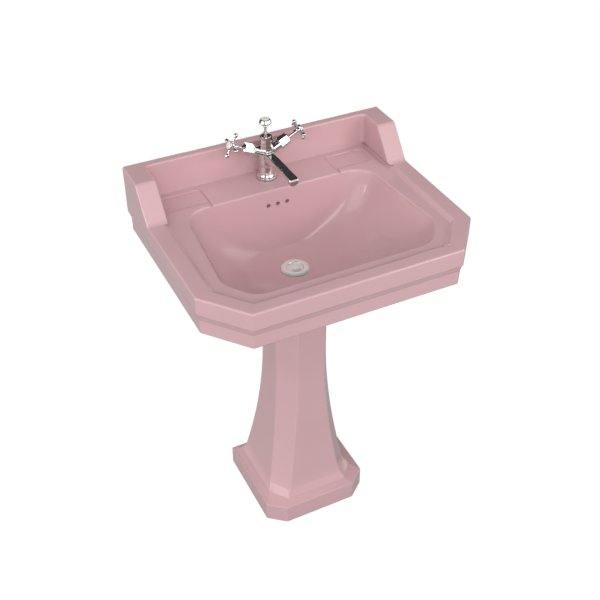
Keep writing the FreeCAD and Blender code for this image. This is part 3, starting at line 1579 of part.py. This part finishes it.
def union_nut(name):
    """Nut over a collar and its seal, ribbed for the hand; its own Z starts at the collar's mouth."""
    body = turned(name, [
        (S.trap_collar + 0.1, -S.union_lap), (S.union_nut, -S.union_lap, 0.8), (S.union_nut, S.union_seal + 3, 2),
        (S.waste_tail + 0.5, S.union_seal + 3), (S.waste_tail + 0.5, S.union_seal), (S.trap_collar + 0.1, S.union_seal),
    ])
    for k in range(12):
        angle = 2 * math.pi * k / 12
        x, y = S.union_nut * math.cos(angle), S.union_nut * math.sin(angle)
        rib = circle(body, "XY_Plane", x, y, 1.5, 2 - S.union_lap)
        pad(body, rib, S.union_lap)
    return body


def at_outlet(body):
    put(body, 0, DRAIN_AT + S.outlet_reach, OUTLET_LEVEL, Vector(1, 0, 0), -90)
    return body


def outlet_pipe():
    """Pipe from the trap to the wall."""
    length = WALL_FACE - DRAIN_AT - S.outlet_reach + S.pipe_insert
    body = beaded_pipe("outlet_pipe", S.waste_tail, S.waste_tail_bore, length, S.free_end)
    put(body, 0, WALL_FACE, OUTLET_LEVEL, Vector(1, 0, 0), 90)
    return body


# ---------------------------------------------------------------------------------------------------
# All pieces
# ---------------------------------------------------------------------------------------------------


def valve_pieces(word, side):
    makers = (cartridge, valve_seat, valve_bonnet, spindle, handle, handle_screw, handle_cap, inlet_tail)
    return [maker(word, side) for maker in makers]


def all_pieces():
    pieces = [
        basin(), pedestal(), pedestal_bedding(),
        mixer_body(), tap_base_seal(), aerator_housing(), aerator_insert(),
        horseshoe("horseshoe_seal", S.horseshoe_radius, S.horseshoe_seal, 0),
        horseshoe("horseshoe_plate", S.horseshoe_radius - 1, S.horseshoe_plate, S.horseshoe_seal),
        tap_stud(), tap_stud_nut(),
    ]
    for word, side in SIDES.items():
        pieces += valve_pieces(word, side)
    pieces += [
        rod_bonnet(), lift_knob(), knob_disc(), lift_rod(), rod_clamp(), clamp_screw(), strap(),
        waste_body(), waste_top_seal(), waste_lower_seal(), waste_backnut(), plug(), plug_seal(),
        pivot_lever(), lever_clip(), pivot_seat(), pivot_nut(),
        trap_body(), trap_cup(), trap_cup_seal(),
        at_trap(union_seal("trap_inlet_seal")), at_trap(union_nut("trap_inlet_nut")),
        at_outlet(union_seal("trap_outlet_seal")), at_outlet(union_nut("trap_outlet_nut")),
        outlet_pipe(),
    ]
    return pieces


def check_document():
    """Stops if any object of the document failed."""
    doc.recompute()
    for item in doc.Objects:
        for word in ("Invalid", "Error"):
            if word in item.State:
                raise RuntimeError("%s (%s) is %s" % (item.Label, item.Name, word))


def write_parts(pieces):
    """Writes each piece to its own file, once all of them are sound."""
    for piece in pieces:
        if piece.Shape.isNull() or not piece.Shape.isValid():
            raise RuntimeError("%s has no sound shape" % piece.Label)
    os.makedirs("parts", exist_ok=True)
    for piece in pieces:
        shape = piece.Shape
        shape.exportStep(os.path.join("parts", piece.Label + ".step"))
        print("%-20s %2d solid %12.1f mm3" % (piece.Label, len(shape.Solids), shape.Volume))


pieces = all_pieces()
check_document()
write_parts(pieces)
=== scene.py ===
# %% [markdown]
# # A pedestal washbasin in pink glazed china
#
# The model is a family bathroom's basin on a flared pedestal, with a chrome mixer tap. Sizes are in
# metres, +Y points at the wall and +Z is up. The CAD assembly is loaded as a fixed frame, and it already
# holds every piece. This lesson gives the pieces finishes, soft shading, light and a camera, and adds
# only the floor.

# %% Load the frame
import bpy
import math
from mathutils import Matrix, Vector

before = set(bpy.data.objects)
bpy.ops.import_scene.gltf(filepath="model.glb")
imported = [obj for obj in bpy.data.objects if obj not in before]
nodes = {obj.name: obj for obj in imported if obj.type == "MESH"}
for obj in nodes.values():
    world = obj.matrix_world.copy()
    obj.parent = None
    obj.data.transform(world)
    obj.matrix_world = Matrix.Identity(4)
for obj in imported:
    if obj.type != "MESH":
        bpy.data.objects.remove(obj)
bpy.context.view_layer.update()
print("nodes:", len(nodes))

# %% [markdown]
# ## Camera
#
# The basin is seen from the left and from above, the way it looks to someone who walks up to it. A lens
# a little longer than normal keeps the uprights from leaning too much.

# %% Camera
CAMERA_PLACE = Vector((-0.7625, -1.5087, 1.9456))
CAMERA_TARGET = Vector((-0.0131, 0.0, 0.6118))
CAMERA_LENS = 58.93
SENSOR_WIDTH = 36

camera_data = bpy.data.cameras.new("camera")
camera_data.lens = CAMERA_LENS
camera_data.sensor_width = SENSOR_WIDTH
camera = bpy.data.objects.new("camera", camera_data)
bpy.context.scene.collection.objects.link(camera)
camera.location = CAMERA_PLACE
camera.rotation_euler = (CAMERA_TARGET - CAMERA_PLACE).to_track_quat("-Z", "Y").to_euler()
bpy.context.scene.camera = camera
bpy.context.scene.view_settings.view_transform = "Standard"
print("camera to target: %.3f m" % (CAMERA_TARGET - CAMERA_PLACE).length)

# %% [markdown]
# ## Helpers for finishes
#
# A material is a small network of nodes. Each node could be set up where it is used, but the same few
# come back in every finish. Short helpers add a node, join two sockets, and make the sums and mixes, so
# that each finish below reads as a list of what it is made of.


# %% Nodes and links
def add_node(tree, kind, **values):
    """Adds a node; each value goes to the attribute, or else the input, of that name."""
    node = tree.nodes.new(kind)
    for key, value in values.items():
        if hasattr(node, key):
            setattr(node, key, value)
        else:
            node.inputs[key.replace("_", " ")].default_value = value
    return node


def join(tree, source, target):
    """Feeds a socket from another one, or from a plain number."""
    if isinstance(source, (int, float)):
        target.default_value = source
    else:
        tree.links.new(source, target)


def arithmetic(tree, operation, first, second):
    """One sum on two sockets or numbers."""
    node = add_node(tree, "ShaderNodeMath", operation=operation)
    join(tree, first, node.inputs[0])
    join(tree, second, node.inputs[1])
    return node.outputs[0]


def map_range(tree, value, low, high, start, end, kind="LINEAR"):
    """The value, mapped from low..high to start..end."""
    node = add_node(tree, "ShaderNodeMapRange", interpolation_type=kind,
                    From_Min=low, From_Max=high, To_Min=start, To_Max=end)
    join(tree, value, node.inputs["Value"])
    return node.outputs["Result"]


print("node helpers:", [helper.__name__ for helper in (add_node, join, arithmetic, map_range)])


# %% Mixes
def mix_colours(tree, share, first, second):
    """A colour between two, by the share of the second."""
    node = add_node(tree, "ShaderNodeMix", data_type="RGBA", A=first, B=second)
    join(tree, share, node.inputs["Factor"])
    return node.outputs["Result"]


def mix_shaders(tree, share, first, second):
    """A node between two shader nodes, by the share of the second."""
    node = add_node(tree, "ShaderNodeMixShader")
    join(tree, share, node.inputs[0])
    join(tree, first.outputs[0], node.inputs[1])
    join(tree, second.outputs[0], node.inputs[2])
    return node


print("mixes:", [helper.__name__ for helper in (mix_colours, mix_shaders)])


# %% Colours and materials
def srgb(red, green, blue):
    """A colour given as it looks on a screen, 0 to 255, as the linear colour that a shader takes."""
    def linear(level):
        level = level / 255
        return level / 12.92 if level <= 0.04045 else ((level + 0.055) / 1.055) ** 2.4
    return (linear(red), linear(green), linear(blue), 1.0)


def new_material(name):
    """A material, its node tree and its main shader."""
    material = bpy.data.materials.new(name)
    material.use_nodes = True
    tree = material.node_tree
    return material, tree, tree.nodes["Principled BSDF"]


def noise_on_object(tree, scale, detail):
    """A noise texture that sticks to the object, with about this many features along a metre."""
    place = add_node(tree, "ShaderNodeTexCoord")
    noise = add_node(tree, "ShaderNodeTexNoise", Scale=scale, Detail=detail)
    join(tree, place.outputs["Object"], noise.inputs["Vector"])
    return noise.outputs["Fac"]


finished = set()


def give(material, *names):
    """Puts one material on these pieces, in place of the one they were loaded with."""
    for name in names:
        piece = bpy.data.objects[name]
        piece.data.materials.clear()
        piece.data.materials.append(material)
        finished.add(name)


print("middle grey as a shader takes it: %.3f" % srgb(128, 128, 128)[0])

# %% [markdown]
# ## Pink china glaze
#
# Vitreous china is a coloured glaze over a pale clay. The glaze is a clear glossy coat, thick enough to
# round every edge, and it lies in very slight waves. One glossy shader could do it, but its highlights
# would be as soft as the pink under them. So the shader has a soft pink base, a clear coat of its own
# and a bump whose waves are centimetres long and only hundredths of a millimetre high. The coat bends
# light a little less than glass, which keeps its mirror image faint beside the pink. The colour varies a
# little over the piece, as it does where the glaze runs thin.

# %% China glaze
PATCH_SCALE = 6.0
PATCH_EDGES = (0.35, 0.65)
WAVE_SCALE = 16.0
WAVE_HEIGHT = 0.0006
WAVE_STRENGTH = 0.25
EDGE_RADIUS = 0.0025
GLAZE_COAT_IOR = 1.42


def china_glaze(name, colour, thin_colour):
    """Coloured glaze under a clear coat, with rounded edges and slight waves."""
    material, tree, shader = new_material(name)
    patches = noise_on_object(tree, PATCH_SCALE, 2.0)
    thin = map_range(tree, patches, *PATCH_EDGES, 0.0, 1.0)
    join(tree, mix_colours(tree, thin, colour, thin_colour), shader.inputs["Base Color"])
    rounding = add_node(tree, "ShaderNodeBevel", samples=6, Radius=EDGE_RADIUS)
    waves = add_node(tree, "ShaderNodeBump", Strength=WAVE_STRENGTH, Distance=WAVE_HEIGHT)
    join(tree, rounding.outputs["Normal"], waves.inputs["Normal"])
    join(tree, noise_on_object(tree, WAVE_SCALE, 1.0), waves.inputs["Height"])
    join(tree, waves.outputs["Normal"], shader.inputs["Normal"])
    join(tree, waves.outputs["Normal"], shader.inputs["Coat Normal"])
    shader.inputs["Roughness"].default_value = 0.35
    shader.inputs["Specular IOR Level"].default_value = 0.2
    shader.inputs["Coat Weight"].default_value = 1.0
    shader.inputs["Coat IOR"].default_value = GLAZE_COAT_IOR
    shader.inputs["Coat Roughness"].default_value = 0.05
    return material


pink_china = china_glaze("pink_china_glaze", srgb(203, 165, 169), srgb(206, 168, 172))
white_china = china_glaze("white_china_glaze", srgb(232, 230, 224), srgb(226, 223, 216))
give(pink_china, "basin", "pedestal")
give(white_china, "knob_disc", "hot_handle_cap", "cold_handle_cap")
print("glazes:", pink_china.name, white_china.name)

# %% [markdown]
# ## Metals
#
# Chrome plate is a mirror with a faint polish haze. Brass and copper are duller, and the steel parts
# have a mottled zinc coat. Tint and roughness could each have a texture of their own. They share one
# here, so that a duller patch is also a darker one, as on worn metal. The waste lies deep in the bowl,
# where a full mirror would show little but pink, so its chrome is made only half metallic. The other
# half is a pale, nearly white diffuse colour: a painted reflection that keeps the waste bright.


# %% Metals
def metal(name, colour, dark, roughness, scale, metallic=1.0):
    """A metal whose tint and roughness vary together."""
    material, tree, shader = new_material(name)
    wear = noise_on_object(tree, scale, 3.0)
    join(tree, mix_colours(tree, wear, colour, dark), shader.inputs["Base Color"])
    join(tree, map_range(tree, wear, 0.0, 1.0, *roughness), shader.inputs["Roughness"])
    shader.inputs["Metallic"].default_value = metallic
    return material


chrome = metal("chrome_plate", srgb(228, 229, 227), srgb(221, 222, 220), (0.03, 0.06), 60.0)
# The waste's pale diffuse half is painted reflection, standing in for a bright mirror image.
waste_chrome_painted_reflection = metal("waste_chrome_painted_reflection", srgb(243, 252, 249), srgb(236, 245, 242), (0.04, 0.08), 60.0, 0.5)
brass = metal("bare_brass", srgb(196, 160, 92), srgb(160, 124, 66), (0.22, 0.38), 90.0)
steel = metal("zinc_steel", srgb(170, 172, 174), srgb(140, 142, 146), (0.25, 0.42), 140.0)
copper = metal("copper_tube", srgb(200, 124, 88), srgb(150, 88, 62), (0.22, 0.40), 70.0)
print("metals:", [finish.name for finish in (chrome, waste_chrome_painted_reflection, brass, steel, copper)])

# %% Pieces of metal
give(chrome, "mixer_body", "aerator_housing", "hot_valve_bonnet", "cold_valve_bonnet", "hot_handle",
     "cold_handle", "rod_bonnet", "lift_knob", "lift_rod", "pivot_nut", "hot_spindle", "cold_spindle")
give(waste_chrome_painted_reflection, "waste_body", "plug")
give(brass, "hot_cartridge", "cold_cartridge", "tap_stud_nut", "waste_backnut", "rod_clamp", "clamp_screw")
give(steel, "horseshoe_plate", "tap_stud", "strap", "pivot_lever", "lever_clip", "hot_handle_screw",
     "cold_handle_screw")
give(copper, "hot_tail", "cold_tail")
print("pieces still to finish:", len(set(nodes) - finished))

# %% [markdown]
# ## Rubber, plastic and sealant
#
# The seals are black rubber, the trap is white moulded plastic and the basin stands on a bead of
# sealant. All of them are of one even colour right through. What tells them from paint is a fine grain
# that breaks up the highlight, so the noise makes a bump and leaves the colour alone.


# %% Rubber, plastic and sealant
def dull(name, colour, roughness, scale, lift):
    """A finish of one colour with a fine grain; lift is the grain's height before its strength."""
    material, tree, shader = new_material(name)
    grain = add_node(tree, "ShaderNodeBump", Strength=0.4, Distance=lift)
    join(tree, noise_on_object(tree, scale, 2.0), grain.inputs["Height"])
    join(tree, grain.outputs["Normal"], shader.inputs["Normal"])
    shader.inputs["Base Color"].default_value = colour
    shader.inputs["Roughness"].default_value = roughness
    return material


rubber = dull("black_rubber", srgb(34, 34, 36), 0.65, 400.0, 0.0001)
white_plastic = dull("white_waste_plastic", srgb(222, 222, 218), 0.38, 120.0, 0.00008)
insert_plastic = dull("grey_plastic", srgb(176, 178, 180), 0.4, 200.0, 0.00005)
sealant = dull("sealant_bead", srgb(214, 206, 202), 0.5, 150.0, 0.0001)
give(rubber, "tap_base_seal", "horseshoe_seal", "hot_valve_seat", "cold_valve_seat", "waste_top_seal",
     "waste_lower_seal", "plug_seal", "pivot_seat", "trap_cup_seal", "trap_inlet_seal", "trap_outlet_seal")
give(white_plastic, "trap_body", "trap_cup", "trap_inlet_nut", "trap_outlet_nut", "outlet_pipe")
give(insert_plastic, "aerator_insert")
give(sealant, "pedestal_bedding")
print("pieces left without a finish:", sorted(set(nodes) - finished))

# %% [markdown]
# ## Smooth shading
#
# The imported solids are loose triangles. Their edges could be marked by hand, piece by piece, but a small
# geometry node group does it for all of them. It welds the triangles where they meet and then marks as
# sharp only the edges that turn by more than the smoothing angle. Turned, cast and lofted surfaces look
# round, and real edges stay crisp. Weighted normals then keep large flat faces flat right up to a soft
# edge. The CAD mesh below the modifiers is not changed.

# %% Weld and smooth
SMOOTH_ANGLE = math.radians(33)
WELD_DISTANCE = 0.00002

group = bpy.data.node_groups.new("weld_and_smooth", "GeometryNodeTree")
group.interface.new_socket("Geometry", in_out="INPUT", socket_type="NodeSocketGeometry")
group.interface.new_socket("Geometry", in_out="OUTPUT", socket_type="NodeSocketGeometry")
entry = add_node(group, "NodeGroupInput")
weld = add_node(group, "GeometryNodeMergeByDistance", Distance=WELD_DISTANCE)
faces = add_node(group, "GeometryNodeSetShadeSmooth")
turn = add_node(group, "GeometryNodeInputMeshEdgeAngle")
is_edge = add_node(group, "FunctionNodeCompare", data_type="FLOAT", operation="GREATER_THAN", B=SMOOTH_ANGLE)
edges = add_node(group, "GeometryNodeSetShadeSmooth", domain="EDGE", Shade_Smooth=False)
leave = add_node(group, "NodeGroupOutput")
join(group, entry.outputs[0], weld.inputs["Geometry"])
join(group, weld.outputs[0], faces.inputs["Geometry"])
join(group, faces.outputs[0], edges.inputs["Geometry"])
join(group, turn.outputs["Unsigned Angle"], is_edge.inputs["A"])
join(group, is_edge.outputs[0], edges.inputs["Selection"])
join(group, edges.outputs[0], leave.inputs[0])
print("nodes in the group:", len(group.nodes))

# %% Put it on every piece
for node in nodes.values():
    node.modifiers.new("weld_and_smooth", "NODES").node_group = group
    node.modifiers.new("flat_faces", "WEIGHTED_NORMAL").keep_sharp = True
print("triangles:", sum(len(node.data.polygons) for node in nodes.values()))

# %% [markdown]
# ## Soft light from the room
#
# A studio has a white surround. Lit evenly from all sides, the basin would look flat, so the surround is
# brightest in front and to the left, and fades to nothing on the far side.

# %% Soft light
KEY_SIDE = (-0.55, -0.74, 0.40)
SOFT_BASE = 0.53
SOFT_SLOPE = 0.80

world = bpy.data.worlds.new("studio")
bpy.context.scene.world = world
world.use_nodes = True
world_tree = world.node_tree
world_tree.nodes.clear()
direction = add_node(world_tree, "ShaderNodeTexCoord").outputs["Generated"]


def facing(side):
    """How far the looked-at direction faces this way, -1 to 1."""
    dot = add_node(world_tree, "ShaderNodeVectorMath", operation="DOT_PRODUCT")
    join(world_tree, direction, dot.inputs[0])
    dot.inputs[1].default_value = Vector(side).normalized()
    return dot.outputs["Value"]


slope = arithmetic(world_tree, "MULTIPLY", facing(KEY_SIDE), SOFT_SLOPE)
level = arithmetic(world_tree, "MAXIMUM", arithmetic(world_tree, "ADD", slope, SOFT_BASE), 0.0)
soft_light = add_node(world_tree, "ShaderNodeBackground", Color=(1, 1, 1, 1))
join(world_tree, level, soft_light.inputs["Strength"])
print("soft light: %.2f to %.2f" % (max(SOFT_BASE - SOFT_SLOPE, 0.0), SOFT_BASE + SOFT_SLOPE))

# %% [markdown]
# ## What shiny surfaces mirror
#
# Chrome shows only what stands round it. A white room would leave it flat, and would wash out the glaze
# too. So glossy rays see a dark surround with a few bright cards in it, as silverware does in a studio.

# %% Cards
DARK_SURROUND = 0.05
# The side each card stands on, where its soft edge starts and ends (1 is its middle), and its strength.
CARDS = {
    "left": ((-0.95, -0.20, 0.10), 0.80, 0.88, 1.6),
    "right": ((0.92, -0.30, 0.25), 0.84, 0.91, 1.5),
    "front": ((0.25, -0.86, 0.45), 0.90, 0.94, 0.9),
    "back": ((0.0, 1.0, 0.0), 0.86, 0.95, 0.5),
    "below": ((0.0, 0.0, -1.0), -0.10, 0.25, 0.6),
}

mirrored = DARK_SURROUND
for side, edge_start, edge_end, strength in CARDS.values():
    card = map_range(world_tree, facing(side), edge_start, edge_end, 0.0, strength, "SMOOTHSTEP")
    mirrored = arithmetic(world_tree, "MAXIMUM", card, mirrored)
mirrored_light = add_node(world_tree, "ShaderNodeBackground", Color=(1, 1, 1, 1))
join(world_tree, mirrored, mirrored_light.inputs["Strength"])
print("cards:", list(CARDS))

# %% Who sees what
plain_white = add_node(world_tree, "ShaderNodeBackground", Color=(1, 1, 1, 1), Strength=1.0)
rays = add_node(world_tree, "ShaderNodeLightPath").outputs
unseen = mix_shaders(world_tree, rays["Is Glossy Ray"], soft_light, mirrored_light)
surround = mix_shaders(world_tree, rays["Is Camera Ray"], unseen, plain_white)
join(world_tree, surround.outputs[0], add_node(world_tree, "ShaderNodeOutputWorld").inputs[0])
print("world nodes:", len(world_tree.nodes))

# %% [markdown]
# ## Floor
#
# The floor is a plain plane, so large that its edge is never seen. A white floor would throw light up at
# the plinth, so it is grey for the light, and a glow that only the camera sees in full makes it look
# white. The glow covers nearly all of the floor, so the pedestal's shadow on it is too faint to show.
# Shiny surfaces see a fifth of the glow.

# %% Floor
FLOOR_SIDE = 30
FLOOR_GREY = 0.25
FLOOR_GLOW = 1.03
FLOOR_WHITE = 0.97
FLOOR_IN_METAL = 0.2

bpy.ops.mesh.primitive_plane_add(size=FLOOR_SIDE, location=(0, 0, 0))
floor = bpy.context.object
floor.name = "studio_floor"
pale_floor, floor_tree, shader = new_material("pale_floor")
shader.inputs["Base Color"].default_value = (FLOOR_GREY, FLOOR_GREY, FLOOR_GREY, 1)
shader.inputs["Roughness"].default_value = 0.9
shader.inputs["Specular IOR Level"].default_value = 0.0
glow = add_node(floor_tree, "ShaderNodeEmission", Strength=FLOOR_GLOW)
rays = add_node(floor_tree, "ShaderNodeLightPath").outputs
in_metal = arithmetic(floor_tree, "MULTIPLY", rays["Is Glossy Ray"], FLOOR_IN_METAL)
in_sight = arithmetic(floor_tree, "MAXIMUM", rays["Is Camera Ray"], in_metal)
share = arithmetic(floor_tree, "MULTIPLY", in_sight, FLOOR_WHITE)
mixer = mix_shaders(floor_tree, share, shader, glow)
join(floor_tree, mixer.outputs[0], floor_tree.nodes["Material Output"].inputs["Surface"])
floor.data.materials.append(pale_floor)
print("floor:", tuple(round(side, 1) for side in floor.dimensions))

# %% [markdown]
# ## Lamps
#
# A single strong lamp would give hard shadows. Four large soft boxes add to the room's light instead:
# the strongest in front, one to the left, one in front and to the right, and a weak one behind.


# %% Lamps
def softbox(name, place, target, size, power):
    """A rectangular lamp that points at its target; its size is its width and height."""
    data = bpy.data.lights.new(name, "AREA")
    data.shape = "RECTANGLE"
    data.size, data.size_y = size
    data.energy = power
    lamp = bpy.data.objects.new(name, data)
    bpy.context.scene.collection.objects.link(lamp)
    lamp.location = place
    lamp.rotation_euler = (Vector(target) - Vector(place)).to_track_quat("-Z", "Y").to_euler()


softbox("key_light", (-0.6, -2.6, 2.0), (0, 0, 0.7), (1.8, 1.4), 24)
softbox("left_light", (-2.8, 0.5, 0.9), (0, 0, 0.75), (1.2, 0.9), 20)
softbox("right_light", (1.6, -2.2, 1.9), (0.1, 0, 0.8), (0.9, 0.9), 13)
softbox("back_light", (1.2, 2.8, 0.9), (0, 0.2, 0.7), (1.2, 1.0), 9)
